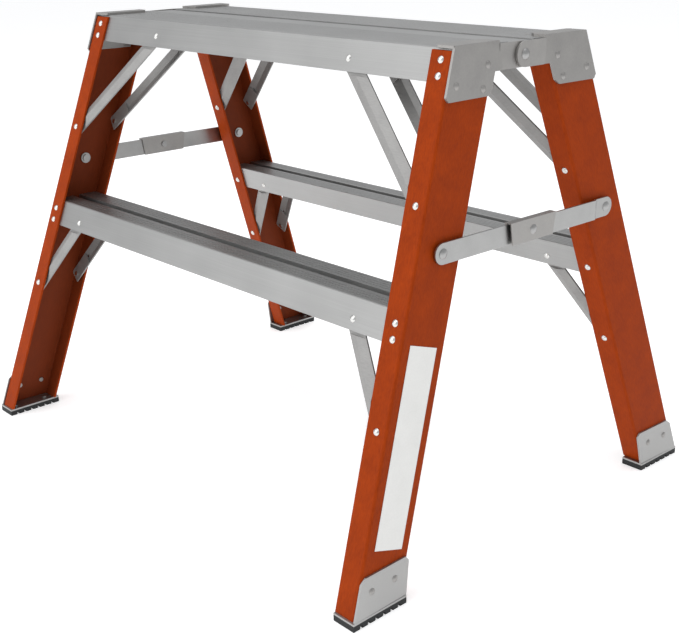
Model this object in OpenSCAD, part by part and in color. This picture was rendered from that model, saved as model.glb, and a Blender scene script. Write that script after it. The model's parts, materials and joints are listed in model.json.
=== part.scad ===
// Folding sawhorse: two leaning halves, each with two splayed channel rails, a top tread and a
// lower step, hinged together at the top and held open by a folding spreader at each end.
// Millimetres. +X runs along the treads, +Z is up, and the front half is on the -Y side.
// The origin is on the floor, under the middle of the sawhorse.

/* [Overall] */
// Height of the rail tops above the floor
rail_top_z = 680.5; // [560:0.5:830]
// Half length of the sawhorse over the rails, at the rail tops
rail_top_x = 407.5; // [330:0.5:500]
// Distance from the middle to the outer flanges, at the rail tops
rail_top_y = 131.2; // [126:0.2:160]
// Lean of each half, in degrees from upright
lean = 18.6; // [15:0.1:22]
// Splay of the rails towards the ends, in degrees
splay = 4.6; // [2:0.1:6]

/* [Rails] */
// Depth of a rail, over its two flanges
rail_w = 80.6; // [72:0.2:98]
// Width of a rail's flanges
flange_w = 34.5; // [28:0.5:42]
// Thickness of a rail's walls
rail_wall = 3.8; // [3:0.1:5]
// Radius of a rail's outer corners
rail_round = 4; // [2:0.5:6]

/* [Treads and steps] */
// Height of the lower step above the floor
step_z = 377; // [310:1:460]
// Gap between the two top treads
centre_gap = 50.6; // [46:0.2:60]
// Thickness of the treads and their aprons
tread_wall = 2.5; // [2:0.1:3.5]
// Height of the aprons
apron_h = 40.9; // [36:0.1:50]
// Height of the lip along a top tread's inner edge
lip_h = 12; // [8:0.5:14]
// Spacing of the grooves along the treads
groove_pitch = 6.4; // [5:0.1:9]
// Width of a groove
groove_w = 1.2; // [0.8:0.1:2]
// Depth of a groove
groove_d = 0.6; // [0.3:0.1:0.9]
// Width of the channel sunk along the lower step
sunk_w = 18; // [12:0.5:24]
// Depth of the channel sunk along the lower step
sunk_d = 9; // [5:0.5:12]
// Distance from the lower step's outer edge to its sunk channel
sunk_inset = 28; // [22:0.5:32]

/* [Braces] */
// Width of a brace
brace_w = 25; // [20:0.5:30]
// Height of the ridge pressed along a brace
brace_ridge = 4; // [2:0.5:6]
// Thickness of the braces
brace_t = 2.5; // [2:0.1:3]
// Upper brace: from the rail end of the tread to its rivet
brace_reach = 181.5; // [150:0.5:220]
// Upper brace: from the tread's top down to the rivet on the rail
brace_drop = 182.5; // [150:0.5:220]
// Knee brace: from the rail end of the step to its rivet
knee_reach = 92; // [80:0.5:110]
// Knee brace: from the step's top down to the rivet on the rail
knee_drop = 142.5; // [120:0.5:170]

/* [Hinge] */
// Distance of the hinge line below the rail tops
hinge_drop = 14.3; // [13:0.1:20]
// Thickness of the hinge brackets
bracket_t = 3.5; // [2.5:0.1:4]
// Distance that a bracket's plate reaches down the rail
bracket_drop = 59.5; // [54:0.5:72]
// Width of the bracket's flange over the tread's end
bracket_cap = 29; // [22:0.5:32]
// Radius of the hinge pins
pin_r = 4; // [3:0.1:5]
// Radius of the bracket's rounded hinge ear
ear_r = 16.5; // [14:0.1:17]
// Thickness of the angle behind the rail's web
backing_t = 2.5; // [2:0.1:3]

/* [Spreader] */
// Height of the spreader above the floor when open
spreader_z = 440.7; // [410:0.5:500]
// Width of the spreader links
link_w = 28; // [22:0.5:32]
// Thickness of the spreader links
link_t = 3; // [2:0.1:4]
// Gap between the web and the link, at the pivot
link_gap = 2.8; // [2.5:0.1:4]
// Length of the lock sleeve along its top
sleeve_l = 94; // [80:1:110]
// Thickness of the lock sleeve
sleeve_t = 1.8; // [1.2:0.1:2.4]
// Radius of the spreader's rivets
link_pin_r = 4; // [3:0.1:5]

/* [Feet] */
// Height of the rubber pads
pad_h = 8.6; // [6:0.1:14]
// Thickness of the shoes
shoe_t = 2.8; // [2:0.1:4]
// Height of a shoe's plate above the floor
shoe_h = 64; // [54:0.5:80]
// Number of blocks along a pad
pad_blocks = 7; // [5:1:9]

/* [Fasteners] */
// Radius of the rivets' shanks
rivet_r = 2.4; // [2:0.1:3]
// Radius of the rivets' heads
rivet_head_r = 5; // [4:0.1:6]
// Height of the rivets' heads
rivet_head_h = 2.6; // [1.5:0.1:3]

/* [Label] */
// Length of the plain panel on the front right rail
panel_l = 260; // [200:1:300]
// Width of the plain panel
panel_w = 50; // [30:1:60]
// Distance down the rail from the spreader's pivot to the panel
panel_drop = 104.2; // [60:0.1:120]

/* [Fits] */
// Clearance between pieces that lie face to face
fit = 0.1; // [0.05:0.01:0.3]
// Clearance round a shank in its hole
hole_fit = 0.05; // [0.02:0.01:0.1]
// Clearance between pieces that turn past each other
turn_gap = 0.3; // [0.2:0.05:0.5]
// Gap between the centre strip and each top tread
strip_gap = 4.3; // [3.5:0.1:6]

/* [Hidden] */
$fn = 48;
far = 2000;
rail_inner_round = 2;
tread_top_z = rail_top_z + tread_wall;
hinge_z = rail_top_z - hinge_drop;
sole_z = pad_h;
rail_bottom_z = sole_z + shoe_t;
// Horizontal distances in from a rail's outer face: to the web side of the outer apron, the same
// side of the inner apron, and the far face of the inner flange.
apron_in = (rail_wall + fit) / cos(lean);
apron_far = (rail_w - rail_wall - fit) / cos(lean);
apron_t = tread_wall / cos(lean);
rail_depth = rail_w / cos(lean);
// Where the front bracket's ear stands, and the rear bracket's outside it.
front_ear_x = rail_top_x - 1.5;
rear_ear_x = front_ear_x + bracket_t + turn_gap;
ear_root = rail_y(hinge_z + ear_r) - rail_depth + 0.6;
// How far a bracket stands proud of the outer flange
bracket_proud = 1.2;
// Centre strip between the two treads
strip_half = centre_gap / 2 - strip_gap;
strip_top = tread_top_z - 1.5;
strip_h = 26;
strip_t = 2.5;
// The break of an apron's upper edge: its width and its height
edge_break = [1.2, 1];
// Spreader pivots lie on the middle of the webs.
pivot_y = rail_y(spreader_z) - rail_depth / 2;
link_x = web_x(-pivot_y, spreader_z) + link_gap;
rear_link_x = link_x + link_t + turn_gap;
link_end_r = link_w / 2;
// The rear link's step starts and ends at these distances before its pivot.
joggle_from = 24;
joggle_to = 30;
link_head_r = 7;
link_head_h = 2.6;
link_head_dome = 12;
sleeve_x0 = link_x - turn_gap - sleeve_t;
sleeve_x1 = rear_link_x + link_t + turn_gap;
shoulder_r = 6;
washer_r = 9;
washer_t = 2;
// Heights of the rivets through the outer flanges, down from a tread's or a step's top, and then
// of those through the inner flanges
tread_rivets = [13.3, 32.3];
step_rivets = [13.7, 33];
inner_tread_rivets = [18];
inner_step_rivets = [25];
// All the inner flange's rivets and braces lie lower than the outer flange's by this much.
inner_lower = 3;
inner_lift = rail_w * tan(lean) - inner_lower / cos(lean);
apron_rivet = 23;
knee_rivet = 25.7;
// Bracket rivets: distance in from the rail's outer face, and down from the rail's top
bracket_rivets = [[68.5, 21.5], [14.5, 41.8], [67.2, 49.9]];
// Shoe rivets: distance in from the rail's outer face
shoe_rivets = [21.5, 63];
shoe_rivet_z = 42;
shoe_screws = [70, 12];
// The foot reaches past the rail, by these distances beyond its outer and its inner flange.
foot_front = 2;
foot_back = 7.5;
foot_y0 = in_y(-foot_front, sole_z);
foot_y1 = in_y(rail_depth + foot_back, sole_z);
screw_r = 2;
screw_head_r = 4.5;
// Rivets through the tread into the backing angle: distance in from the web, and from the middle
top_rivet_x = 41;
top_rivets_y = [61, 103];
backing_leg = 54;

// ---- Where things are. All of it is worked out for the front right corner. ----

// |X| of a rail's outer corner, and |Y| of its outer flange, at height z
function rail_x(z) = rail_top_x + tan(splay) / cos(lean) * (rail_top_z - z);
function rail_y(z) = rail_top_y + tan(lean) * (rail_top_z - z);
// Y at a horizontal distance d in from the outer flange, at height z
function in_y(d, z) = d - rail_y(z);
// X of the web's outer face
function web_x(y, z) =
  rail_top_x - tan(splay) * (sin(lean) * (y + rail_top_y) + cos(lean) * (z - rail_top_z));
// Points along the lean of the rail, in the plane that lies n inside the outer flange
function slope_z(z, n) = (z - rail_top_z + n * sin(lean)) / cos(lean);
// Middle of the flange at height z
function flange_point(z) = [rail_x(z) - flange_w / 2, z];
function upper_brace_ends() = [
  [rail_top_x - brace_reach, tread_top_z - apron_rivet],
  flange_point(tread_top_z - brace_drop)
];
function knee_brace_ends() = [
  [rail_x(step_z) - knee_reach, step_z - knee_rivet],
  flange_point(step_z - knee_drop)
];
// The rivets through a flange and an apron, at the tread and at the step
function tread_points(inner) =
  [for (d = inner ? inner_tread_rivets : tread_rivets) flange_point(tread_top_z - d)];
function step_points(inner) =
  [for (d = inner ? inner_step_rivets : step_rivets) flange_point(step_z - d)];
function brace_points() = [upper_brace_ends()[1], knee_brace_ends()[1]];
function apron_rivet_points() = [upper_brace_ends()[0], knee_brace_ends()[0]];

// Puts the front right corner's children at another corner.
module at_corner(sx, sy) {
  mirror([sx < 0 ? 1 : 0, 0, 0]) mirror([0, sy > 0 ? 1 : 0, 0]) children();
}
// The rail's own frame: +X out of the web, +Y in from the outer flange, +Z up the rail.
module rail_frame() {
  translate([rail_top_x, -rail_top_y, rail_top_z])
    rotate([-lean, 0, 0]) rotate([0, -splay, 0]) children();
}
// The outer flange's frame: X as it is, +Y in from the flange, +Z up its slope.
module flange_frame() {
  translate([0, -rail_top_y, rail_top_z]) rotate([-lean, 0, 0]) children();
}
// The frame of either flange. The inner one sees the channel the other way round, and lies
// further up the rail, so that both give the same height to the same point.
module on_flange(inner) {
  if (inner) {
    flange_frame() translate([-tan(splay) * inner_lift, rail_w, inner_lift])
      mirror([0, 1, 0]) children();
  } else {
    flange_frame() children();
  }
}
// A slab parallel to the web, from x0 to x1 outside its outer face
module web_slab(x0, x1) {
  rail_frame() translate([x0, -far / 2, -far]) cube([x1 - x0, far, 2 * far]);
}
// All that lies between the two ends' webs, less an inset
module between_webs(inset) {
  intersection() {
    web_slab(-far, -inset);
    mirror([1, 0, 0]) web_slab(-far, -inset);
  }
}
// An outline in Y and Z, drawn out along X from x0 to x1
module along_x(x0, x1) {
  translate([x0, 0, 0]) rotate([90, 0, 90]) linear_extrude(x1 - x0) children();
}
// An outline in Y and Z, made into a plate on the web's outer face
module web_plate(t) {
  intersection() {
    web_slab(0, t);
    along_x(0, far) children();
  }
}
// Puts children on the web's outer face, with +Z pointing out.
module on_web(y, z) {
  translate([web_x(y, z), y, z])
    rotate([-lean, 0, 0]) rotate([0, -splay, 0]) rotate([0, 90, 0]) children();
}
// Puts children at a point [x, z] of the plane n inside a flange, with +Z pointing out.
module on_plane(p, n) {
  translate([p[0], n, slope_z(p[1], 0)]) rotate([90, 0, 0]) children();
}

// ---- Fasteners ----

// A domed rivet: its head stands on z = 0 and its shank goes down through the grip.
module rivet(grip, r = rivet_r, head_r = rivet_head_r, head_h = rivet_head_h, tail_h = 1.6) {
  dome = (head_r * head_r + head_h * head_h) / (2 * head_h);
  intersection() {
    translate([0, 0, head_h - dome]) sphere(dome);
    translate([0, 0, fit]) cylinder(r = head_r, h = head_h);
  }
  translate([0, 0, -grip - fit]) cylinder(r = r, h = grip + 2 * fit + 0.5);
  translate([0, 0, -grip - fit - tail_h]) cylinder(r = head_r * 0.8, h = tail_h);
}
// The hole for a rivet, from above its head to a depth
module rivet_hole(depth, r = rivet_r) {
  translate([0, 0, -depth]) cylinder(r = r + hole_fit, h = depth + 1);
}

// ---- Rails ----

// What a square corner has outside its round
module corner_waste(r) {
  difference() {
    translate([-1, -1]) square(r + 1);
    translate([r, r]) circle(r);
  }
}
// What a fillet adds to an inside corner
module corner_fill(r) {
  difference() {
    square(r);
    translate([r, r]) circle(r);
  }
}
module channel_outline() {
  difference() {
    translate([-flange_w, 0]) square([flange_w, rail_w]);
    difference() {
      translate([-flange_w - 1, rail_wall])
        square([flange_w + 1 - rail_wall, rail_w - 2 * rail_wall]);
      translate([-rail_wall, rail_wall]) mirror([1, 0]) corner_fill(rail_inner_round);
      translate([-rail_wall, rail_w - rail_wall])
        mirror([1, 0]) mirror([0, 1]) corner_fill(rail_inner_round);
    }
    mirror([1, 0]) corner_waste(rail_round);
    translate([0, rail_w]) mirror([1, 0]) mirror([0, 1]) corner_waste(rail_round);
  }
}
module rail() {
  spare = 30;
  length = rail_top_z / cos(lean) / cos(splay);
  color("#b4461f") difference() {
    intersection() {
      rail_frame() translate([0, 0, -length]) linear_extrude(length + spare) channel_outline();
      translate([-far, -far, rail_bottom_z]) cube([2 * far, 2 * far, rail_top_z - rail_bottom_z]);
    }
    for (inner = [false, true]) on_flange(inner)
      for (p = concat(tread_points(inner), step_points(inner), brace_points()))
        on_plane(p, 0) rivet_hole(rail_wall + 1);
    for (b = bracket_rivets) on_bracket_rivet(b) rivet_hole(rail_wall + 1);
    for (d = shoe_rivets) on_web(in_y(d, shoe_rivet_z), shoe_rivet_z) rivet_hole(rail_wall + 1);
    translate([link_x - 20, -pivot_y, spreader_z])
      rotate([0, 90, 0]) cylinder(r = link_pin_r + hole_fit, h = 30);
  }
}

// ---- Treads and steps ----

// A strip of a tread's outline, between two insets and two heights, with leaning sides
module leaning_strip(d0, d1, z0, z1) {
  polygon([[in_y(d0, z0), z0], [in_y(d1, z0), z0], [in_y(d1, z1), z1], [in_y(d0, z1), z1]]);
}
module grooves(y0, y1, z) {
  count = floor((y1 - y0) / groove_pitch);
  start = y0 + ((y1 - y0) - (count - 1) * groove_pitch) / 2;
  for (i = [0:count - 1])
    translate([start + i * groove_pitch - groove_w / 2, z - groove_d])
      square([groove_w, groove_d + 1]);
}
module aprons_outline(z) {
  leaning_strip(apron_in, apron_in + apron_t, z - apron_h, z - tread_wall / 2);
  leaning_strip(apron_far - apron_t, apron_far, z - apron_h, z - tread_wall / 2);
}
module tread_top_outline() {
  z = tread_top_z;
  edge = -centre_gap / 2;
  difference() {
    union() {
      polygon([
        [in_y(apron_in, z - tread_wall), z - tread_wall],
        [edge, z - tread_wall], [edge, z], [in_y(apron_in, z) + edge_break[0], z],
        [in_y(apron_in, z - edge_break[1]), z - edge_break[1]]
      ]);
      translate([edge - tread_wall, z - lip_h]) square([tread_wall, lip_h]);
    }
    grooves(in_y(apron_in, z) + 4, edge - 3, z);
  }
}
// The holes for rivets through one apron, at both ends
module apron_holes(points, inner) {
  for (sx = [0, 1]) mirror([sx, 0, 0])
    on_flange(inner) for (p = points) on_plane(p, rail_wall + fit) rivet_hole(tread_wall + 1);
}
module top_tread() {
  color("#b0b0ae") difference() {
    union() {
      intersection() {
        along_x(-far / 2, far / 2) tread_top_outline();
        between_webs(fit);
      }
      intersection() {
        along_x(-far / 2, far / 2) aprons_outline(tread_top_z);
        between_webs(rail_wall + backing_t + turn_gap);
      }
    }
    for (inner = [false, true])
      apron_holes(concat(tread_points(inner), [upper_brace_ends()[0]]), inner);
    for (sx = [-1, 1]) for (y = top_rivets_y)
      translate([sx * (rail_top_x - top_rivet_x), -y, tread_top_z]) rivet_hole(tread_wall + 1);
  }
}
module step_outline() {
  z = step_z;
  y0 = in_y(apron_in, z);
  y1 = in_y(apron_far, z);
  ya = y0 + sunk_inset;
  yb = ya + sunk_w;
  difference() {
    union() {
      polygon([
        [in_y(apron_in, z - tread_wall), z - tread_wall],
        [ya + tread_wall, z - tread_wall], [ya + tread_wall, z], [y0 + edge_break[0], z],
        [in_y(apron_in, z - edge_break[1]), z - edge_break[1]]
      ]);
      polygon([
        [yb - tread_wall, z - tread_wall], [in_y(apron_far, z - tread_wall), z - tread_wall],
        [in_y(apron_far, z - edge_break[1]), z - edge_break[1]], [y1 - edge_break[0], z],
        [yb - tread_wall, z]
      ]);
      translate([ya, z - sunk_d - tread_wall]) square([yb - ya, tread_wall]);
      translate([ya, z - sunk_d - tread_wall]) square([tread_wall, sunk_d + tread_wall / 2]);
      translate([yb - tread_wall, z - sunk_d - tread_wall])
        square([tread_wall, sunk_d + tread_wall / 2]);
    }
    grooves(y0 + 4, ya - 1, z);
    grooves(yb + 1, y1 - 3, z);
  }
  aprons_outline(z);
}
module lower_step() {
  color("#b0b0ae") difference() {
    intersection() {
      along_x(-far / 2, far / 2) step_outline();
      between_webs(rail_wall + rail_inner_round);
    }
    for (inner = [false, true])
      apron_holes(concat(step_points(inner), [knee_brace_ends()[0]]), inner);
  }
}

// ---- Braces: a bar riveted behind the apron and behind the flange, with a ridge along it ----

// Half the bar's section: from its edge to the ridge, less what the hollow behind takes
module ridge_outline(inset) {
  polygon([[inset, -brace_w / 2], [inset - brace_ridge, 0], [inset, brace_w / 2]]);
}
// Keeps a brace's ridge clear of the apron's lower edge and of the flange's edge.
module free_of_apron_and_flange(apron_z) {
  gap = 3;
  s = slope_z(apron_z, 0) - gap;
  intersection() {
    children();
    translate([-far, -far / 2, s - far]) cube([2 * far, far, far]);
    rotate([0, -splay, 0]) translate([-far, -far / 2, -far])
      cube([far + rail_top_x * cos(splay) - flange_w - gap, far, 2 * far]);
  }
}
module brace(ends, apron_z) {
  dx = ends[1][0] - ends[0][0];
  dz = slope_z(ends[1][1], 0) - slope_z(ends[0][1], 0);
  length = norm([dx, dz]);
  face = rail_wall + fit + tread_wall + fit;
  end_clear = rivet_head_r + 3;
  hollow = [46, 42];
  module along_bar() {
    translate([ends[0][0], face, slope_z(ends[0][1], 0)])
      rotate([0, atan2(-dz, dx), 0]) children();
  }
  difference() {
    union() {
      along_bar() translate([-end_clear, 0, -brace_w / 2])
        cube([length + 2 * end_clear, brace_t, brace_w]);
      free_of_apron_and_flange(apron_z)
        along_bar() rotate([90, 0, 90]) linear_extrude(length) ridge_outline(0.01);
    }
    along_bar() {
      translate([hollow[0], 0, 0]) rotate([90, 0, 90])
        linear_extrude(length - hollow[0] - hollow[1]) ridge_outline(brace_t + 0.02);
      for (x = [0, length]) translate([x, 0, 0]) rotate([90, 0, 0])
        translate([0, 0, 1]) rivet_hole(brace_t + 3);
    }
  }
}
// A brace behind either flange, cut short of the web
module placed_brace(ends, apron_z, inner) {
  color("#a6a5a4") intersection() {
    on_flange(inner) brace(ends, apron_z);
    between_webs(rail_wall + turn_gap);
  }
}
module upper_brace(inner) {
  placed_brace(upper_brace_ends(), tread_top_z - apron_h, inner);
}
module knee_brace(inner) {
  placed_brace(knee_brace_ends(), step_z - apron_h, inner);
}

// ---- Hinge brackets ----

module on_bracket_rivet(b) {
  z = rail_top_z - b[1];
  on_web(in_y(b[0], z), z) children();
}
// The plate that lies over the web, out to the root of the ear
module bracket_outline() {
  z0 = rail_top_z - bracket_drop;
  z1 = tread_top_z + bracket_t;
  za = hinge_z - ear_r;
  zb = hinge_z + ear_r;
  cut = 6;
  polygon([
    [in_y(-bracket_proud, z0 + cut), z0 + cut], [in_y(cut - bracket_proud, z0), z0],
    [in_y(rail_depth - cut, z0), z0], [in_y(rail_depth, z0 + cut), z0 + cut],
    [in_y(rail_depth, za), za], [4 - ear_root, za], [4 - ear_root, zb],
    [-ear_root, zb], [-ear_root, z1], [in_y(-bracket_proud, z1), z1]
  ]);
}
// The flange folded in over the tread's end
module bracket_cap_flange() {
  z = tread_top_z + fit;
  x0 = rail_top_x - bracket_cap;
  y0 = in_y(-bracket_proud, z);
  translate([0, 0, z]) linear_extrude(bracket_t)
    polygon([
      [x0, y0 + 4], [x0 + 4, y0], [web_x(y0, z) + 2, y0],
      [web_x(-ear_root, z) + 2, -ear_root], [x0 + 10, -ear_root], [x0, -ear_root - 8]
    ]);
}
module ear_outline() {
  translate([-ear_root, hinge_z - ear_r]) square([ear_root, 2 * ear_r]);
  translate([0, hinge_z]) circle(ear_r);
}
// The rear ear's outline from above: it steps out to pass outside the front one.
module stepped_ear_plan() {
  x = rear_ear_x;
  polygon([
    [front_ear_x + 0.5, -ear_root], [x, 12 - ear_root], [x, ear_r], [x + bracket_t, ear_r],
    [x + bracket_t, 8 - ear_root], [front_ear_x + 4.5, -ear_root]
  ]);
}
module hinge_bracket(outside) {
  color("#92918d") difference() {
    union() {
      web_plate(bracket_t) bracket_outline();
      bracket_cap_flange();
      intersection() {
        along_x(0, far) ear_outline();
        if (outside) {
          translate([0, 0, hinge_z - ear_r]) linear_extrude(2 * ear_r) stepped_ear_plan();
        } else {
          translate([front_ear_x, -far / 2, 0]) cube([bracket_t, far, far]);
        }
      }
    }
    translate([0, 0, hinge_z]) rotate([0, 90, 0]) cylinder(r = pin_r + hole_fit, h = far);
    for (b = bracket_rivets) on_bracket_rivet(b)
      translate([0, 0, bracket_t]) rivet_hole(bracket_t + 1);
  }
}
// The angle behind the web: one leg on the web, the other under the tread
module backing_angle() {
  z0 = rail_top_z - bracket_drop + 4;
  in0 = apron_in + apron_t + turn_gap;
  in1 = apron_far - apron_t - turn_gap;
  color("#9c9b98") difference() {
    union() {
      intersection() {
        web_slab(-rail_wall - fit - backing_t, -rail_wall - fit);
        along_x(0, far) leaning_strip(in0, in1, z0, rail_top_z - fit);
      }
      intersection() {
        along_x(rail_top_x - backing_leg, rail_top_x)
          leaning_strip(in0, in1, rail_top_z - fit - backing_t, rail_top_z - fit);
        web_slab(-far, -rail_wall - fit);
      }
    }
    for (b = bracket_rivets) on_bracket_rivet(b)
      translate([0, 0, -rail_wall]) rivet_hole(backing_t + 1);
    for (y = top_rivets_y)
      translate([rail_top_x - top_rivet_x, -y, rail_top_z]) rivet_hole(backing_t + 1);
  }
}

// ---- Centre strip and hinge pins ----

module centre_strip() {
  reach = front_ear_x - turn_gap;
  inner = strip_half - strip_t;
  color("#b2b2b0") difference() {
    translate([-reach, -strip_half, strip_top - strip_h]) cube([2 * reach, 2 * strip_half, strip_h]);
    translate([-reach + strip_t, -inner, strip_top - strip_h - 1])
      cube([2 * (reach - strip_t), 2 * inner, strip_h + 1 - strip_t]);
    translate([-far / 2, 0, hinge_z]) rotate([0, 90, 0]) cylinder(r = pin_r + hole_fit, h = far);
  }
}
module hinge_pin() {
  grip = rear_ear_x + bracket_t - (front_ear_x - turn_gap - strip_t);
  color("#c4c4c2") translate([rear_ear_x + bracket_t, 0, hinge_z]) rotate([0, 90, 0])
    rivet(grip, pin_r, 7.5, 3.4, 2.5);
}

// ---- Spreader ----

// A flat link's outline in Y and Z, between two round ends
module link_outline(y0, y1) {
  translate([y0, spreader_z - link_end_r]) square([y1 - y0, link_w]);
  for (y = [y0, y1]) translate([y, spreader_z]) circle(link_end_r);
}
module link_hole(y) {
  translate([link_x - 10, y, spreader_z])
    rotate([0, 90, 0]) cylinder(r = link_pin_r + hole_fit, h = 40);
}
module front_link() {
  color("#b6b6b4") difference() {
    along_x(link_x, link_x + link_t) link_outline(-pivot_y, 0);
    link_hole(-pivot_y);
    link_hole(0);
  }
}
// The rear link lies outside the front one, and steps in to the web before its pivot.
module rear_link() {
  step_out = rear_link_x - link_x;
  color("#b6b6b4") difference() {
    intersection() {
      along_x(link_x - 1, rear_link_x + link_t + 1) link_outline(0, pivot_y);
      translate([link_x, 0, spreader_z - link_w]) linear_extrude(2 * link_w)
        polygon([
          [step_out, -link_w], [step_out + link_t, -link_w],
          [step_out + link_t, pivot_y - joggle_to + 0.8], [link_t, pivot_y - joggle_from + 0.8],
          [link_t, pivot_y + link_w], [0, pivot_y + link_w],
          [0, pivot_y - joggle_from - 0.8], [step_out, pivot_y - joggle_to - 0.8]
        ]);
    }
    link_hole(0);
    link_hole(pivot_y);
  }
}
// A channel closed along its top, which stops the links from folding down
module lock_sleeve() {
  half = sleeve_l / 2;
  z0 = spreader_z - link_end_r - 0.5;
  z1 = spreader_z + link_end_r + turn_gap;
  slant = 5;
  color("#979693") difference() {
    along_x(sleeve_x0, sleeve_x1 + sleeve_t)
      polygon([[slant - half, z0], [half - slant, z0], [half, z1 + sleeve_t],
        [-half, z1 + sleeve_t]]);
    translate([sleeve_x0 + sleeve_t, -far / 2, z0 - 1])
      cube([sleeve_x1 - sleeve_x0 - sleeve_t, far, z1 - z0 + 1]);
    link_hole(0);
  }
}
// The domed head over a link's pivot, standing a clearance above z = 0
module pivot_head(clearance) {
  intersection() {
    translate([0, 0, link_head_h - link_head_dome]) sphere(link_head_dome);
    translate([0, 0, clearance]) cylinder(r = link_head_r, h = link_head_h);
  }
}
// The rivet that joins the links in the sleeve, and the one that holds the rear link's far end
module link_rivets() {
  color("#a8a7a4") {
    translate([sleeve_x1 + sleeve_t, 0, spreader_z]) rotate([0, 90, 0])
      rivet(sleeve_x1 + sleeve_t - sleeve_x0, link_pin_r, link_head_r, 2.2, 1.5);
    translate([link_x + link_t, pivot_y, spreader_z]) rotate([0, 90, 0]) {
      pivot_head(fit);
      translate([0, 0, -link_t]) cylinder(r = link_pin_r, h = link_t + 1);
    }
  }
}
// A shoulder outside the web and a washer inside it, on a stub of the given reach
module web_pivot(reach) {
  x = web_x(-pivot_y, spreader_z);
  // The web slopes across the shoulder and the washer, which stand clear of it by this much.
  shoulder_clear = shoulder_r * tan(splay) + fit;
  washer_clear = washer_r * tan(splay) + fit;
  washer_x = x - rail_wall - washer_clear - washer_t;
  translate([0, -pivot_y, spreader_z]) rotate([0, 90, 0]) {
    translate([0, 0, x + shoulder_clear])
      cylinder(r = shoulder_r, h = link_gap - shoulder_clear - turn_gap);
    translate([0, 0, washer_x]) cylinder(r = link_pin_r, h = reach - washer_x);
    translate([0, 0, washer_x]) cylinder(r = washer_r, h = washer_t);
    translate([0, 0, washer_x - 2.5]) cylinder(r = link_pin_r + 2, h = 2.6);
  }
}
module front_link_pivots() {
  color("#a8a7a4") for (sx = [0, 1]) mirror([sx, 0, 0]) {
    web_pivot(link_x + link_t + 1);
    translate([link_x + link_t, -pivot_y, spreader_z]) rotate([0, 90, 0]) pivot_head(turn_gap);
  }
}
module rear_link_washers() {
  color("#a8a7a4") for (sx = [0, 1]) mirror([sx, 0, 0]) mirror([0, 1, 0])
    web_pivot(link_x - turn_gap);
}

// ---- Feet ----

// The outline of the sole and of the pad, which both stand proud of the rail all round
module foot_plan() {
  x_in = rail_x(sole_z) - flange_w;
  x_out = rail_x(sole_z) + shoe_t * 0.8;
  polygon([[x_in, foot_y0], [x_out + 0.6, foot_y0], [x_out - 1, foot_y1], [x_in, foot_y1]]);
}
module screw_points() {
  z = rail_bottom_z;
  for (d = shoe_screws) translate([rail_x(z) - flange_w / 2 - 4, in_y(d, z), z]) children();
}
module shoe() {
  z0 = sole_z;
  z1 = shoe_h;
  cut = 6.5;
  color("#c4c4c4") difference() {
    union() {
      intersection() {
        web_slab(fit, fit + shoe_t);
        along_x(0, far) polygon([
          [in_y(-1, z0), z0], [in_y(rail_depth + foot_back, z0), z0],
          [in_y(rail_depth, z1 - cut), z1 - cut], [in_y(rail_depth - cut - 1, z1), z1],
          [in_y(cut - 1, z1), z1], [in_y(-1, z1 - cut), z1 - cut]
        ]);
      }
      translate([0, 0, sole_z]) linear_extrude(shoe_t) foot_plan();
    }
    for (d = shoe_rivets) on_web(in_y(d, shoe_rivet_z), shoe_rivet_z)
      translate([0, 0, shoe_t]) rivet_hole(shoe_t + 1);
    screw_points() translate([0, 0, -shoe_t - 1])
      cylinder(r = screw_r + hole_fit, h = shoe_t + 2);
  }
}
module pad() {
  pitch = (foot_y1 - foot_y0) / pad_blocks;
  groove = pitch * 0.3;
  color("#1c1d1e") difference() {
    linear_extrude(pad_h - fit) foot_plan();
    for (i = [1:pad_blocks - 1])
      translate([0, foot_y0 + i * pitch - groove / 2, -1]) cube([far, groove, 1 + pad_h * 0.5]);
    screw_points() translate([0, 0, -shoe_t - 4]) cylinder(r = screw_r + hole_fit, h = 10);
  }
}

// ---- Groups of fasteners ----

// Rivets through either flange and what lies behind it
module one_flange_rivets(inner) {
  for (p = concat(tread_points(inner), step_points(inner))) on_plane(p, 0)
    rivet(rail_wall + fit + tread_wall);
  for (p = brace_points()) on_plane(p, 0) rivet(rail_wall + 2 * fit + tread_wall + brace_t);
  for (p = apron_rivet_points()) on_plane(p, rail_wall + fit) rivet(tread_wall + fit + brace_t);
}
module flange_rivets() {
  color("#c9c9c6") for (sx = [0, 1]) mirror([sx, 0, 0])
    for (inner = [false, true]) on_flange(inner) one_flange_rivets(inner);
}
module web_fasteners() {
  color("#a9a8a5") for (sx = [0, 1]) mirror([sx, 0, 0]) {
    for (b = bracket_rivets) on_bracket_rivet(b) translate([0, 0, bracket_t])
      rivet(bracket_t + rail_wall + fit + backing_t, head_h = 1.8);
    for (d = shoe_rivets) on_web(in_y(d, shoe_rivet_z), shoe_rivet_z)
      translate([0, 0, shoe_t + fit]) rivet(shoe_t + fit + rail_wall, head_h = 2, tail_h = 2.2);
    for (y = top_rivets_y)
      translate([rail_top_x - top_rivet_x, -y, tread_top_z])
        rivet(tread_wall + fit + backing_t, rivet_r, 3.6, 1, 1.2);
    screw_points() {
      translate([0, 0, fit]) cylinder(r = screw_head_r, h = 2.6);
      translate([0, 0, -shoe_t - 2.5]) cylinder(r = screw_r, h = shoe_t + 3);
    }
  }
}

// ---- Plain panel on the front right rail ----

module label_panel() {
  pivot = (rail_top_z - spreader_z) / cos(lean) / cos(splay);
  color("#e9e8e4") rail_frame()
    translate([fit, (rail_w - panel_w) / 2, -pivot - panel_drop - panel_l])
      cube([0.5, panel_w, panel_l]);
}

// ---- The assembly ----

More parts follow.
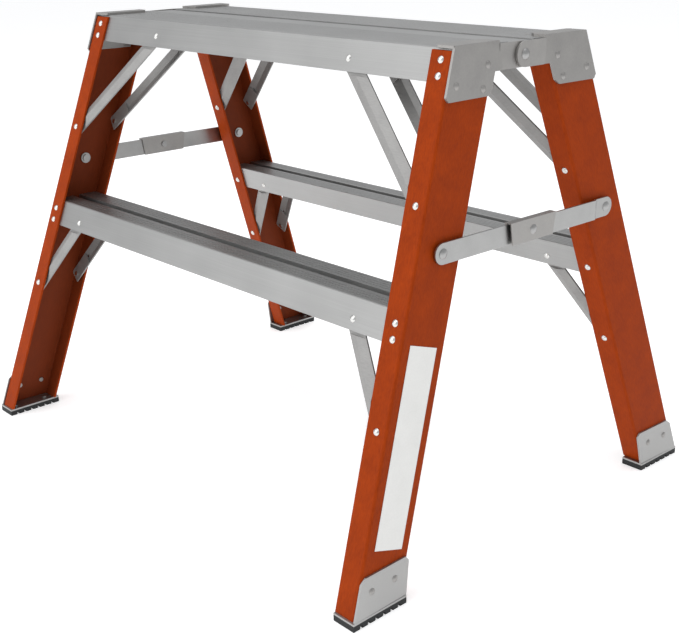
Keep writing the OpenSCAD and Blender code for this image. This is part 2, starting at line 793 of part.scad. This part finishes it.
at_corner(1, -1) rail();  // front_right_rail
at_corner(-1, -1) rail();  // front_left_rail
at_corner(1, 1) rail();  // rear_right_rail
at_corner(-1, 1) rail();  // rear_left_rail
top_tread();  // front_tread
at_corner(1, 1) top_tread();  // rear_tread
lower_step();  // front_step
at_corner(1, 1) lower_step();  // rear_step
at_corner(1, -1) hinge_bracket(false);  // front_right_bracket
at_corner(-1, -1) hinge_bracket(false);  // front_left_bracket
at_corner(1, 1) hinge_bracket(true);  // rear_right_bracket
at_corner(-1, 1) hinge_bracket(true);  // rear_left_bracket
at_corner(1, -1) backing_angle();  // front_right_backing
at_corner(-1, -1) backing_angle();  // front_left_backing
at_corner(1, 1) backing_angle();  // rear_right_backing
at_corner(-1, 1) backing_angle();  // rear_left_backing
at_corner(1, -1) upper_brace(false);  // front_right_outer_brace
at_corner(-1, -1) upper_brace(false);  // front_left_outer_brace
at_corner(1, 1) upper_brace(false);  // rear_right_outer_brace
at_corner(-1, 1) upper_brace(false);  // rear_left_outer_brace
at_corner(1, -1) upper_brace(true);  // front_right_inner_brace
at_corner(-1, -1) upper_brace(true);  // front_left_inner_brace
at_corner(1, 1) upper_brace(true);  // rear_right_inner_brace
at_corner(-1, 1) upper_brace(true);  // rear_left_inner_brace
at_corner(1, -1) knee_brace(false);  // front_right_outer_knee
at_corner(-1, -1) knee_brace(false);  // front_left_outer_knee
at_corner(1, 1) knee_brace(false);  // rear_right_outer_knee
at_corner(-1, 1) knee_brace(false);  // rear_left_outer_knee
at_corner(1, -1) knee_brace(true);  // front_right_inner_knee
at_corner(-1, -1) knee_brace(true);  // front_left_inner_knee
at_corner(1, 1) knee_brace(true);  // rear_right_inner_knee
at_corner(-1, 1) knee_brace(true);  // rear_left_inner_knee
at_corner(1, -1) shoe();  // front_right_shoe
at_corner(-1, -1) shoe();  // front_left_shoe
at_corner(1, 1) shoe();  // rear_right_shoe
at_corner(-1, 1) shoe();  // rear_left_shoe
at_corner(1, -1) pad();  // front_right_pad
at_corner(-1, -1) pad();  // front_left_pad
at_corner(1, 1) pad();  // rear_right_pad
at_corner(-1, 1) pad();  // rear_left_pad
centre_strip();
at_corner(1, -1) hinge_pin();  // right_hinge_pin
at_corner(-1, -1) hinge_pin();  // left_hinge_pin
at_corner(1, -1) front_link();  // right_front_link
at_corner(-1, -1) front_link();  // left_front_link
at_corner(1, -1) rear_link();  // right_rear_link
at_corner(-1, -1) rear_link();  // left_rear_link
at_corner(1, -1) lock_sleeve();  // right_lock_sleeve
at_corner(-1, -1) lock_sleeve();  // left_lock_sleeve
at_corner(1, -1) link_rivets();  // right_link_rivets
at_corner(-1, -1) link_rivets();  // left_link_rivets
front_link_pivots();
rear_link_washers();
flange_rivets();  // front_flange_rivets
at_corner(1, 1) flange_rivets();  // rear_flange_rivets
web_fasteners();  // front_web_fasteners
at_corner(1, 1) web_fasteners();  // rear_web_fasteners
at_corner(1, -1) label_panel();
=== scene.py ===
"""The looks of a folding sawhorse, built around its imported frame.

The sawhorse has two leaning halves that hinge together at the top. Each half has two pultruded
fibreglass channel rails, an extruded aluminium top tread and lower step, and braces, brackets and
shoes of sheet metal. A folding spreader at each end holds the halves open.

Lengths are in metres, +X runs along the treads, the front half is on the -Y side and +Z is up.
"""

import json
import logging
import math
from dataclasses import dataclass
from enum import Enum
from typing import Callable, Iterable

import bmesh
import bpy
import numpy as np
from mathutils import Matrix, Vector

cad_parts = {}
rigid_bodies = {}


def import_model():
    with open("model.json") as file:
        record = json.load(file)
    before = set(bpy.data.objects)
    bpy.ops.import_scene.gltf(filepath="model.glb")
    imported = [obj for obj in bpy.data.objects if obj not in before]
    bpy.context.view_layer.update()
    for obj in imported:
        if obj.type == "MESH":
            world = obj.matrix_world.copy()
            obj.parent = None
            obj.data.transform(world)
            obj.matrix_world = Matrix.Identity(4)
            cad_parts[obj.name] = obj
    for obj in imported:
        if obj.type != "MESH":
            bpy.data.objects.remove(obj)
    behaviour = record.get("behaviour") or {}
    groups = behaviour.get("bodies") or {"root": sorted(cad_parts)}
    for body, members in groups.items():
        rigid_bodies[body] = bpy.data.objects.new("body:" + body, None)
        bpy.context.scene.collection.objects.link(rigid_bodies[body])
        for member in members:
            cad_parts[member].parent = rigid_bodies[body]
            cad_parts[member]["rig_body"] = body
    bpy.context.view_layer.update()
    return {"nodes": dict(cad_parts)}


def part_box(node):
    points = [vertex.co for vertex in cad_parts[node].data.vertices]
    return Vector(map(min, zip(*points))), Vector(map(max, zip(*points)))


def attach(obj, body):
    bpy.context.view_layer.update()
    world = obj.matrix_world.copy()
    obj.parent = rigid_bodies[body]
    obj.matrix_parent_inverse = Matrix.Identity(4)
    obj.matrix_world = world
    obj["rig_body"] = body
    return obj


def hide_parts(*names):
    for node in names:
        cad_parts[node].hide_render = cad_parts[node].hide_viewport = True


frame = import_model()

LOG = logging.getLogger("sawhorse")
MM = 0.001
MERGE = 1e-6  # vertices nearer than this are one
FLAT_TURN = 0.6  # faces that turn less than this, in degrees, are one flat face
SHARP_TURN = 28.0  # edges that turn more than this, in degrees, get their edge broken
SMOOTH_TURN = 32.0  # edges that turn less than this, in degrees, are shaded smooth
FACET_TURN = 12.0  # the same for pressed facets, which meet at shallow angles
NOISE_RANGE = (0.3, 0.7)  # what a noise texture's values lie between, for the most part


class Half(Enum):
    """The two halves of the sawhorse, with the side of Y that each stands on."""

    FRONT = ("front", -1)
    REAR = ("rear", 1)

    @property
    def label(self) -> str:
        """The half's name, as in the frame's node names."""
        return self.value[0]

    @property
    def side(self) -> int:
        """-1 for the front half and 1 for the rear one."""
        return self.value[1]


class End(Enum):
    """The two ends of the sawhorse, with the side of X that each stands on."""

    RIGHT = ("right", 1)
    LEFT = ("left", -1)

    @property
    def label(self) -> str:
        """The end's name, as in the frame's node names."""
        return self.value[0]

    @property
    def side(self) -> int:
        """1 for the right end and -1 for the left one."""
        return self.value[1]


CORNERS = [(half, end) for half in Half for end in End]


# ---- Modelling steps ----


def select_only(*pieces: bpy.types.Object) -> None:
    """Selects these pieces and nothing else, with the first one active, in object mode.

    Args:
        pieces: The pieces to select.
    """
    active = bpy.context.view_layer.objects.active
    if active is not None and active.mode != "OBJECT":
        bpy.ops.object.mode_set(mode="OBJECT")
    bpy.ops.object.select_all(action="DESELECT")
    for piece in pieces:
        piece.select_set(True)
    if pieces:
        bpy.context.view_layer.objects.active = pieces[0]


class Editing:
    """Edit mode on one piece, as a context that returns to object mode at its end."""

    def __init__(self, piece: bpy.types.Object) -> None:
        """Remembers the piece.

        Args:
            piece: The piece to edit.
        """
        self.piece = piece

    def __enter__(self) -> "Editing":
        """Enters edit mode with everything selected."""
        select_only(self.piece)
        bpy.ops.object.mode_set(mode="EDIT")
        bpy.ops.mesh.select_mode(type="VERT")
        bpy.ops.mesh.select_all(action="SELECT")
        return self

    def __exit__(self, *_: object) -> None:
        """Goes back to object mode."""
        bpy.ops.object.mode_set(mode="OBJECT")

    def choose_vertices(self, test: Callable[[Vector], bool]) -> None:
        """Selects the vertices whose place passes the test, and nothing else.

        Args:
            test: Takes a vertex's place and says whether to select it.
        """
        bpy.ops.mesh.select_mode(type="VERT")
        bpy.ops.mesh.select_all(action="DESELECT")
        mesh = bmesh.from_edit_mesh(self.piece.data)
        for vertex in mesh.verts:
            vertex.select_set(test(vertex.co))
        mesh.select_flush(True)
        bmesh.update_edit_mesh(self.piece.data)


def extrude(move: Iterable[float]) -> None:
    """Extrudes the selection and moves the new part.

    Args:
        move: How far the new part moves, in X, Y and Z.
    """
    bpy.ops.mesh.extrude_region_move(TRANSFORM_OT_translate={"value": tuple(move)})


def apply_modifier(piece: bpy.types.Object, kind: str, **settings: object) -> None:
    """Adds a modifier to a piece and applies it.

    Args:
        piece: The piece to change.
        kind: The modifier's type.
        settings: The modifier's settings, by name.
    """
    select_only(piece)
    modifier = piece.modifiers.new(kind.lower(), kind)
    for name, value in settings.items():
        setattr(modifier, name, value)
    bpy.ops.object.modifier_apply(modifier=modifier.name)


def break_edges(piece: bpy.types.Object, width: float) -> None:
    """Rounds a piece's sharp edges.

    Args:
        piece: The piece to change.
        width: How far from the edge the round starts.
    """
    apply_modifier(
        piece,
        "BEVEL",
        width=width,
        segments=2,
        limit_method="ANGLE",
        angle_limit=math.radians(SHARP_TURN),
        use_clamp_overlap=True,
    )


def smooth(piece: bpy.types.Object, angle: float = SMOOTH_TURN) -> None:
    """Shades a piece smooth, with the flats kept flat.

    Args:
        piece: The piece to shade.
        angle: The sharpest angle that is still shaded smooth, in degrees.
    """
    select_only(piece)
    bpy.ops.object.shade_smooth_by_angle(angle=math.radians(angle))
    apply_modifier(piece, "WEIGHTED_NORMAL", mode="FACE_AREA", weight=50, keep_sharp=True)


def place(piece: bpy.types.Object, matrix: Matrix) -> None:
    """Moves a piece by a matrix and writes its place into its mesh.

    Args:
        piece: The piece to move.
        matrix: Where the piece goes. It may mirror the piece.
    """
    select_only(piece)
    piece.data.transform(matrix)
    if matrix.to_3x3().determinant() < 0:
        with Editing(piece):
            bpy.ops.mesh.flip_normals()


def duplicate(piece: bpy.types.Object, name: str, matrix: Matrix) -> bpy.types.Object:
    """Copies a piece, with a mesh of its own, to another place.

    Args:
        piece: The piece to copy.
        name: The copy's name.
        matrix: Where the copy goes.

    Returns:
        The copy.
    """
    copy = bpy.data.objects.new(name, piece.data.copy())
    bpy.context.scene.collection.objects.link(copy)
    place(copy, matrix)
    return copy


def cad_copy(node: str) -> bpy.types.Object:
    """Copies a node's mesh, with its loose triangles merged into flat faces.

    Args:
        node: The node's name.

    Returns:
        The copy, named for the node.
    """
    piece = bpy.data.objects.new(node + "_finished", frame["nodes"][node].data.copy())
    bpy.context.scene.collection.objects.link(piece)
    piece.data.materials.clear()
    with Editing(piece):
        bpy.ops.mesh.customdata_custom_splitnormals_clear()
        bpy.ops.mesh.remove_doubles(threshold=MERGE)
        bpy.ops.mesh.dissolve_limited(angle_limit=math.radians(FLAT_TURN))
    return piece


def outline_prism(
    name: str, outline: list[tuple[float, float]], x_from: float, x_to: float
) -> bpy.types.Object:
    """Draws a closed outline in Y and Z point by point, fills it and extrudes it along X.

    Args:
        name: The piece's name.
        outline: The outline's corners, as (y, z).
        x_from: Where the piece starts.
        x_to: Where the piece ends.

    Returns:
        The piece.
    """
    select_only()
    first = Vector((x_from, *outline[0]))
    bpy.ops.mesh.primitive_plane_add(size=MM, location=(0, 0, 0))
    piece = bpy.context.object
    piece.name = name
    with Editing(piece) as edit:
        bpy.ops.mesh.merge(type="CENTER")
        bpy.ops.transform.translate(value=first)
        for (y0, z0), (y1, z1) in zip(outline, outline[1:]):
            extrude((0, y1 - y0, z1 - z0))
        bpy.ops.mesh.select_all(action="SELECT")
        bpy.ops.mesh.edge_face_add()
        extrude((x_to - x_from, 0, 0))
        bpy.ops.mesh.select_all(action="SELECT")
        bpy.ops.mesh.normals_make_consistent(inside=False)
    return piece


def cut(piece: bpy.types.Object, point: Vector, outward: Vector) -> None:
    """Cuts off all of a piece that lies beyond a plane, and closes the cut.

    Args:
        piece: The piece to cut.
        point: A point of the plane.
        outward: The plane's normal, towards what is cut off.
    """
    with Editing(piece):
        bpy.ops.mesh.bisect(
            plane_co=point, plane_no=outward, use_fill=True, clear_outer=True
        )


# ---- Finishes ----


def linear(code: str) -> tuple[float, float, float, float]:
    """Turns an sRGB hex colour into the linear one that a shader takes.

    Args:
        code: The colour, such as "#c0c0c0".

    Returns:
        Red, green, blue and an alpha of 1.
    """
    channels = [int(code[i : i + 2], 16) / 255 for i in (1, 3, 5)]
    red, green, blue = (
        c / 12.92 if c <= 0.04045 else ((c + 0.055) / 1.055) ** 2.4 for c in channels
    )
    return red, green, blue, 1.0


def add_node(
    tree: bpy.types.NodeTree,
    kind: str,
    values: dict[str | int, object] | None = None,
    links: dict[str | int, bpy.types.NodeSocket] | None = None,
    **settings: object,
) -> bpy.types.Node:
    """Adds a node with its settings and its links.

    Args:
        tree: The material's nodes.
        kind: The node's type.
        values: What is set on its inputs.
        links: What its inputs are joined to.
        settings: The node's own settings.

    Returns:
        The node.
    """
    node = tree.nodes.new(kind)
    for name, value in settings.items():
        setattr(node, name, value)
    for key, value in (values or {}).items():
        node.inputs[key].default_value = value
    for key, socket in (links or {}).items():
        tree.links.new(socket, node.inputs[key])
    return node


@dataclass(frozen=True)
class Finish:
    """A surface with grain along one direction, cloudy patches, and a fine bump.

    The colours run from dark to light, and the lengths are in millimetres.
    """

    name: str
    dark: str
    light: str
    roughness: float
    roughness_swing: float
    metallic: float
    grain_width: float
    grain_length: float
    patch_size: float
    patch_share: float
    bump: float
    specular: float = 0.5
    coat: float = 0.0

    def material(self, along: Vector = Vector((1, 0, 0)), suffix: str = "") -> bpy.types.Material:
        """Makes the finish as a material.

        Args:
            along: The direction that the grain runs in.
            suffix: What is added to the material's name.

        Returns:
            The material.
        """
        made = bpy.data.materials.new(self.name + suffix)
        made.use_nodes = True
        tree = made.node_tree
        tree.nodes.clear()
        place_node = add_node(tree, "ShaderNodeTexCoord")
        turn = along.rotation_difference(Vector((1, 0, 0))).to_euler()
        turned = add_node(
            tree,
            "ShaderNodeMapping",
            {"Rotation": tuple(turn)},
            {"Vector": place_node.outputs["Object"]},
        )
        across = 1 / (self.grain_width * MM)
        grain_scale = (1 / (self.grain_length * MM), across, across)
        stretched = add_node(
            tree, "ShaderNodeMapping", {"Scale": grain_scale}, {"Vector": turned.outputs[0]}
        )
        grain = add_node(
            tree,
            "ShaderNodeTexNoise",
            {"Scale": 1.0, "Detail": 3.0, "Roughness": 0.6},
            {"Vector": stretched.outputs[0]},
        )
        patches = add_node(
            tree,
            "ShaderNodeTexNoise",
            {"Scale": 1 / (self.patch_size * MM), "Detail": 2.0, "Roughness": 0.5},
            {"Vector": turned.outputs[0]},
        )
        mixed = add_node(
            tree,
            "ShaderNodeMix",
            {"Factor": self.patch_share},
            {"A": grain.outputs["Fac"], "B": patches.outputs["Fac"]},
        )
        ramp = add_node(tree, "ShaderNodeValToRGB", links={"Fac": mixed.outputs["Result"]})
        colours = (linear(self.dark), linear(self.light))
        for stop, at, colour in zip(ramp.color_ramp.elements, NOISE_RANGE, colours):
            stop.position = at
            stop.color = colour
        rough = add_node(
            tree,
            "ShaderNodeMapRange",
            {
                "From Min": NOISE_RANGE[0],
                "From Max": NOISE_RANGE[1],
                "To Min": self.roughness - self.roughness_swing,
                "To Max": self.roughness + self.roughness_swing,
            },
            {"Value": mixed.outputs["Result"]},
        )
        raised = add_node(
            tree,
            "ShaderNodeBump",
            {"Strength": 0.6, "Distance": self.bump * MM},
            {"Height": grain.outputs["Fac"]},
        )
        shader = add_node(
            tree,
            "ShaderNodeBsdfPrincipled",
            {
                "Metallic": self.metallic,
                "Specular IOR Level": self.specular,
                "Coat Weight": self.coat,
            },
            {
                "Base Color": ramp.outputs["Color"],
                "Roughness": rough.outputs["Result"],
                "Normal": raised.outputs["Normal"],
            },
        )
        add_node(
            tree, "ShaderNodeOutputMaterial", links={"Surface": shader.outputs["BSDF"]}
        )
        return made


# Pultruded polyester fibreglass: a veil over lengthwise glass strands, so a satin face with a
# faint mottle that is longer than it is wide.
FIBREGLASS = Finish(
    name="pultruded_fibreglass",
    dark="#852e06",
    light="#a43d09",
    roughness=0.55,
    roughness_swing=0.06,
    metallic=0.0,
    grain_width=1.6,
    grain_length=7.0,
    patch_size=30.0,
    patch_share=0.35,
    bump=0.12,
    specular=0.07,
)
# The inside of the channel: the same fibreglass painted a deeper red-brown, as painted shade for
# the shadow in the channel's recess.
FIBREGLASS_PAINTED_SHADE = Finish(
    name="fibreglass_painted_shade",
    dark="#6a2a0e",
    light="#7c3212",
    roughness=0.6,
    roughness_swing=0.06,
    metallic=0.0,
    grain_width=1.2,
    grain_length=14.0,
    patch_size=30.0,
    patch_share=0.35,
    bump=0.12,
    specular=0.15,
)
# Extruded aluminium as it leaves the die: fine lines along its length. Real die lines are under
# 0.1 mm apart, and are drawn coarser here so that they show.
EXTRUDED_ALUMINIUM = Finish(
    name="extruded_aluminium",
    dark="#a0a09f",
    light="#b0b0af",
    roughness=0.45,
    roughness_swing=0.05,
    metallic=1.0,
    grain_width=0.9,
    grain_length=240.0,
    patch_size=90.0,
    patch_share=0.4,
    bump=0.02,
)
# Rolled aluminium sheet, cut and bent: a dull skin that shines less than the extrusions.
ROLLED_ALUMINIUM = Finish(
    name="rolled_aluminium",
    dark="#8b8a89",
    light="#a09f9d",
    roughness=0.46,
    roughness_swing=0.05,
    metallic=0.4,
    grain_width=1.2,
    grain_length=60.0,
    patch_size=40.0,
    patch_share=0.5,
    bump=0.015,
)
# Zinc plated pressed steel: dull grey with a faint mottle and a little yellow in it.
ZINC_PLATED_PLATE = Finish(
    name="zinc_plated_plate",
    dark="#999795",
    light="#a7a5a2",
    roughness=0.46,
    roughness_swing=0.06,
    metallic=1.0,
    grain_width=3.0,
    grain_length=5.0,
    patch_size=26.0,
    patch_share=0.5,
    bump=0.015,
)
# Zinc plated flat bar, brighter than the pressings.
ZINC_PLATED_BAR = Finish(
    name="zinc_plated_bar",
    dark="#9c9c9b",
    light="#aeaead",
    roughness=0.36,
    roughness_swing=0.05,
    metallic=1.0,
    grain_width=1.2,
    grain_length=24.0,
    patch_size=22.0,
    patch_share=0.4,
    bump=0.012,
)
# Polished aluminium rivet heads.
RIVET_ALUMINIUM = Finish(
    name="rivet_aluminium",
    dark="#cfcfcc",
    light="#dededb",
    roughness=0.24,
    roughness_swing=0.05,
    metallic=1.0,
    grain_width=0.8,
    grain_length=1.2,
    patch_size=4.0,
    patch_share=0.4,
    bump=0.01,
)
# Moulded black rubber, matt, with a fine spark-eroded grain from its mould.
MOULDED_RUBBER = Finish(
    name="moulded_rubber",
    dark="#121415",
    light="#1e2122",
    roughness=0.7,
    roughness_swing=0.08,
    metallic=0.0,
    grain_width=0.8,
    grain_length=0.9,
    patch_size=9.0,
    patch_share=0.3,
    bump=0.12,
)
# Printed vinyl film, plain off-white and slightly glossy.
VINYL_FILM = Finish(
    name="vinyl_film",
    dark="#dcdcd9",
    light="#e6e6e3",
    roughness=0.38,
    roughness_swing=0.04,
    metallic=0.0,
    grain_width=2.5,
    grain_length=2.5,
    patch_size=40.0,
    patch_share=0.6,
    bump=0.01,
    coat=0.15,
)


def dress(piece: bpy.types.Object, material: bpy.types.Material) -> None:
    """Gives a piece one material all over.

    Args:
        piece: The piece to dress.
        material: Its material.
    """
    piece.data.materials.clear()
    piece.data.materials.append(material)
    for polygon in piece.data.polygons:
        polygon.material_index = 0


# ---- Sub-assemblies ----


class SubAssembly:
    """What the sub-assemblies share: a finished piece takes the place of its node."""

    def deliver(
        self, piece: bpy.types.Object, node: str, slot: str, material: bpy.types.Material
    ) -> None:
        """Dresses a piece, lets it stand for a node and makes it ride on the node's body.

        Args:
            piece: The finished piece.
            node: The node that it stands for.
            slot: The record's material slot. It is not used.
            material: The piece's material.
        """
        dress(piece, material)
        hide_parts(node)
        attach(piece, frame["nodes"][node]["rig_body"])
        low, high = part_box(node)
        corners = np.array([v.co for v in piece.data.vertices])
        off = max(
            float(np.abs(corners.min(0) - np.array(low)).max()),
            float(np.abs(corners.max(0) - np.array(high)).max()),
        )
        LOG.info("%s: %d faces, %.2f mm off", piece.name, len(piece.data.polygons), off / MM)


@dataclass
class Lean:
    """How the rails lean and splay, and the directions that follow from it."""

    lean: float = 18.6
    splay: float = 4.6

    def rail_turn(self) -> Matrix:
        """The turn from the upright to the front right rail."""
        return Matrix.Rotation(math.radians(-self.lean), 4, "X") @ Matrix.Rotation(
            math.radians(-self.splay), 4, "Y"
        )

    def up_the_rail(self, half: Half, end: End) -> Vector:
        """The direction up one of the rails.

        Args:
            half: The rail's half.
            end: The rail's end.

        Returns:
            A unit vector.
        """
        up = self.rail_turn() @ Vector((0, 0, 1))
        return Vector((up.x * end.side, -up.y * half.side, up.z))


def corner_matrix(half: Half, end: End) -> Matrix:
    """The mirroring that takes the front right corner to another corner.

    Args:
        half: The corner's half.
        end: The corner's end.

    Returns:
        A matrix.
    """
    return Matrix.Diagonal((end.side, -half.side, 1, 1))


@dataclass
class Rails(SubAssembly):
    """The four channel rails, walked round their section and cut level at both ends."""

    lean: Lean
    depth: float = 80.6 * MM
    flange: float = 34.5 * MM
    wall: float = 3.8 * MM
    outer_round: float = 4 * MM
    outer_steps: int = 6
    inner_round: float = 2.5 * MM
    inner_steps: int = 4
    edge_break: float = 0.5 * MM
    spare: float = 50 * MM  # what the rail is made longer by at its top, and cut off again

    def section(self) -> list[tuple[float, float]]:
        """The channel's outline, with Y in from the outer flange and Z into the channel."""
        wall, depth, flange = self.wall, self.depth, self.flange
        return [
            (0, flange), (0, 0), (depth, 0), (depth, flange),
            (depth - wall, flange), (depth - wall, wall), (wall, wall), (wall, flange),
        ]

    def model(self) -> bpy.types.Object:
        """Models the front right rail in place.

        Returns:
            The rail.
        """
        low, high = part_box("front_right_rail")
        length = (high - low).length
        rail = outline_prism("rail", self.section(), -length, self.spare)
        with Editing(rail) as edit:
            corners = [(0, 0), (self.depth, 0)]
            edit.choose_vertices(
                lambda p: any(abs(p.y - y) < MERGE and abs(p.z - z) < MERGE for y, z in corners)
            )
            bpy.ops.mesh.bevel(offset=self.outer_round, segments=self.outer_steps)
            inner = [(self.wall, self.wall), (self.depth - self.wall, self.wall)]
            edit.choose_vertices(
                lambda p: any(abs(p.y - y) < MERGE and abs(p.z - z) < MERGE for y, z in inner)
            )
            bpy.ops.mesh.bevel(offset=self.inner_round, segments=self.inner_steps)
        # The rail's own X goes up the rail, its Y in from the outer flange, its Z into the channel.
        axes = Matrix(((0, 0, -1, 0), (0, 1, 0, 0), (1, 0, 0, 0), (0, 0, 0, 1)))
        top = Vector((self.top_x(), *self.top_yz()))
        place(rail, Matrix.Translation(top) @ self.lean.rail_turn() @ axes)
        cut(rail, Vector((0, 0, high.z)), Vector((0, 0, 1)))
        cut(rail, Vector((0, 0, low.z)), Vector((0, 0, -1)))
        break_edges(rail, self.edge_break)
        return rail

    def top_yz(self) -> tuple[float, float]:
        """Y and Z of the outer flange at the rail's top."""
        low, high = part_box("front_right_rail")
        return low.y + (high.z - low.z) * math.tan(math.radians(self.lean.lean)), high.z

    def top_x(self) -> float:
        """X of the web's outer face at the rail's top, on its outer corner."""
        low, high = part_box("front_right_rail")
        rise = (high.z - low.z) / math.cos(math.radians(self.lean.lean))
        return high.x - rise * math.tan(math.radians(self.lean.splay))

    def bare_faces(self, rail: bpy.types.Object, half: Half, end: End) -> list[int]:
        """Finds the faces inside the channel, which get the painted shade.

        Args:
            rail: The rail.
            half: The rail's half.
            end: The rail's end.

        Returns:
            The faces' indices.
        """
        turn = self.lean.rail_turn().to_3x3()
        top = Vector((self.top_x(), *self.top_yz()))
        mirror = corner_matrix(half, end).to_3x3()
        found = []
        for face in rail.data.polygons:
            at = turn.inverted() @ (mirror @ face.center - top)
            inside = self.wall / 2 < at.y < self.depth - self.wall / 2
            if inside and -self.flange + MM < at.x < -self.wall / 2:
                found.append(face.index)
        return found

    def build(self) -> None:
        """Models one rail and copies it to the four corners."""
        pattern = self.model()
        for half, end in CORNERS:
            node = f"{half.label}_{end.label}_rail"
            rail = duplicate(pattern, node + "_pultrusion", corner_matrix(half, end))
            smooth(rail)
            along = self.lean.up_the_rail(half, end)
            corner = f"_{half.label}_{end.label}"
            self.deliver(rail, node, "fibreglass", FIBREGLASS.material(along, corner))
            # The faces inside the channel get a darker copy of the fibreglass: painted shade for
            # the channel's recess.
            rail.data.materials.append(FIBREGLASS_PAINTED_SHADE.material(along, corner))
            for index in self.bare_faces(rail, half, end):
                rail.data.polygons[index].material_index = 1
        bpy.data.objects.remove(pattern)


@dataclass
class NodeGroup(SubAssembly):
    """Nodes of one finish, finished from the frame's meshes with their edges broken.

    An edge break of 0 leaves the edges as they are, for sections with rims too thin to round.
    """

    nodes: tuple[str, ...]
    slot: str
    finish: Finish
    edge_break: float = 0.4 * MM
    smooth_turn: float = SMOOTH_TURN

    def build(self) -> None:
        """Copies each node's mesh, breaks its edges, shades it and dresses it."""
        material = self.finish.material(suffix="_" + self.slot)
        for node in self.nodes:
            piece = cad_copy(node)
            if self.edge_break:
                break_edges(piece, self.edge_break)
            smooth(piece, self.smooth_turn)
            self.deliver(piece, node, self.slot, material)


@dataclass
class Studio:
    """The floor, the lights and the camera."""

    place: Vector = Vector((1.3405, -1.1617, 0.8352))
    looks_at: Vector = Vector((0.0558, -0.0038, 0.2194))
    roll: float = -0.9
    lens: float = 59.96
    floor_size: float = 60.0
    floor_glow: float = 0.42
    world_glow: float = 0.75
    lamp_size: float = 4.5

    def camera(self) -> None:
        """Adds the camera, aimed at the sawhorse and rolled a little."""
        bpy.ops.object.camera_add(location=self.place)
        camera = bpy.context.object
        aim = (self.looks_at - self.place).to_track_quat("-Z", "Y").to_matrix().to_4x4()
        camera.matrix_world = (
            Matrix.Translation(self.place)
            @ aim
            @ Matrix.Rotation(math.radians(self.roll), 4, "Z")
        )
        camera.data.lens = self.lens
        camera.data.sensor_width = 36.0
        camera.data.clip_end = 200.0
        bpy.context.scene.camera = camera

    def floor(self) -> None:
        """Adds the plain pale floor."""
        select_only()
        bpy.ops.mesh.primitive_plane_add(size=self.floor_size, location=(0, 0, 0))
        floor = bpy.context.object
        floor.name = "floor"
        material = bpy.data.materials.new("floor_white")
        material.use_nodes = True
        shader = material.node_tree.nodes["Principled BSDF"]
        shader.inputs["Base Color"].default_value = linear("#f4f4f4")
        shader.inputs["Roughness"].default_value = 0.9
        shader.inputs["Specular IOR Level"].default_value = 0.1
        shader.inputs["Emission Color"].default_value = linear("#ffffff")
        shader.inputs["Emission Strength"].default_value = self.floor_glow
        floor.data.materials.append(material)

    def light(self, name: str, at: Vector, power: float) -> None:
        """Adds a soft square light, aimed at the sawhorse.

        Args:
            name: The light's name.
            at: Where it hangs.
            power: Its power in watts.
        """
        bpy.ops.object.light_add(type="AREA", location=at)
        lamp = bpy.context.object
        lamp.name = name
        lamp.data.size = self.lamp_size
        lamp.data.energy = power
        lamp.rotation_euler = (self.looks_at - at).to_track_quat("-Z", "Y").to_euler()

    def build(self) -> None:
        """Adds all of the studio."""
        self.camera()
        self.floor()
        world = bpy.data.worlds.new("studio")
        world.use_nodes = True
        background = world.node_tree.nodes["Background"]
        background.inputs["Color"].default_value = linear("#e8e9eb")
        background.inputs["Strength"].default_value = self.world_glow
        bpy.context.scene.world = world
        self.light("key", Vector((-1.0, -3.6, 2.6)), power=88.0)
        self.light("overhead", Vector((0.2, 0.4, 3.8)), power=62.0)
        bpy.context.scene.view_settings.view_transform = "Standard"


def corner_nodes(*kinds: str) -> tuple[str, ...]:
    """The names of the nodes of some kinds at all four corners.

    Args:
        kinds: What each corner has, such as "shoe".

    Returns:
        The nodes' names.
    """
    return tuple(f"{half.label}_{end.label}_{kind}" for kind in kinds for half, end in CORNERS)


def end_nodes(*kinds: str) -> tuple[str, ...]:
    """The names of the nodes of some kinds at both ends.

    Args:
        kinds: What each end has, such as "lock_sleeve".

    Returns:
        The nodes' names.
    """
    return tuple(f"{end.label}_{kind}" for kind in kinds for end in End)


def main() -> None:
    """Builds the studio and every sub-assembly, in order."""
    logging.basicConfig(level=logging.INFO, format="%(message)s")
    Studio().build()
    lean = Lean()
    Rails(lean).build()
    treads = ("front_tread", "rear_tread", "front_step", "rear_step", "centre_strip")
    NodeGroup(treads, "tread", EXTRUDED_ALUMINIUM, edge_break=0.3 * MM).build()
    brackets = corner_nodes("bracket")
    NodeGroup(brackets, "bracket", ZINC_PLATED_PLATE, edge_break=0.5 * MM).build()
    NodeGroup(corner_nodes("backing"), "backing", ROLLED_ALUMINIUM).build()
    braces = corner_nodes("outer_brace", "inner_brace", "outer_knee", "inner_knee")
    NodeGroup(braces, "brace", ROLLED_ALUMINIUM, edge_break=0, smooth_turn=FACET_TURN).build()
    NodeGroup(corner_nodes("shoe"), "shoe", EXTRUDED_ALUMINIUM).build()
    NodeGroup(corner_nodes("pad"), "rubber", MOULDED_RUBBER, edge_break=0.6 * MM).build()
    links = ("right_front_link", "right_rear_link", "left_front_link", "left_rear_link")
    NodeGroup(links, "link", ZINC_PLATED_BAR, edge_break=0.5 * MM).build()
    NodeGroup(end_nodes("lock_sleeve"), "sleeve", ZINC_PLATED_PLATE).build()
    pins = end_nodes("hinge_pin", "link_rivets") + ("front_link_pivots", "rear_link_washers")
    NodeGroup(pins, "pin", ZINC_PLATED_BAR, edge_break=0.2 * MM).build()
    rivets = ("front_flange_rivets", "rear_flange_rivets")
    NodeGroup(rivets, "rivet", RIVET_ALUMINIUM, edge_break=0.2 * MM).build()
    fasteners = ("front_web_fasteners", "rear_web_fasteners")
    NodeGroup(fasteners, "rivet", ZINC_PLATED_PLATE, edge_break=0.2 * MM).build()
    NodeGroup(("label_panel",), "label", VINYL_FILM, edge_break=0.1 * MM).build()


if __name__ == "__main__":
    main()
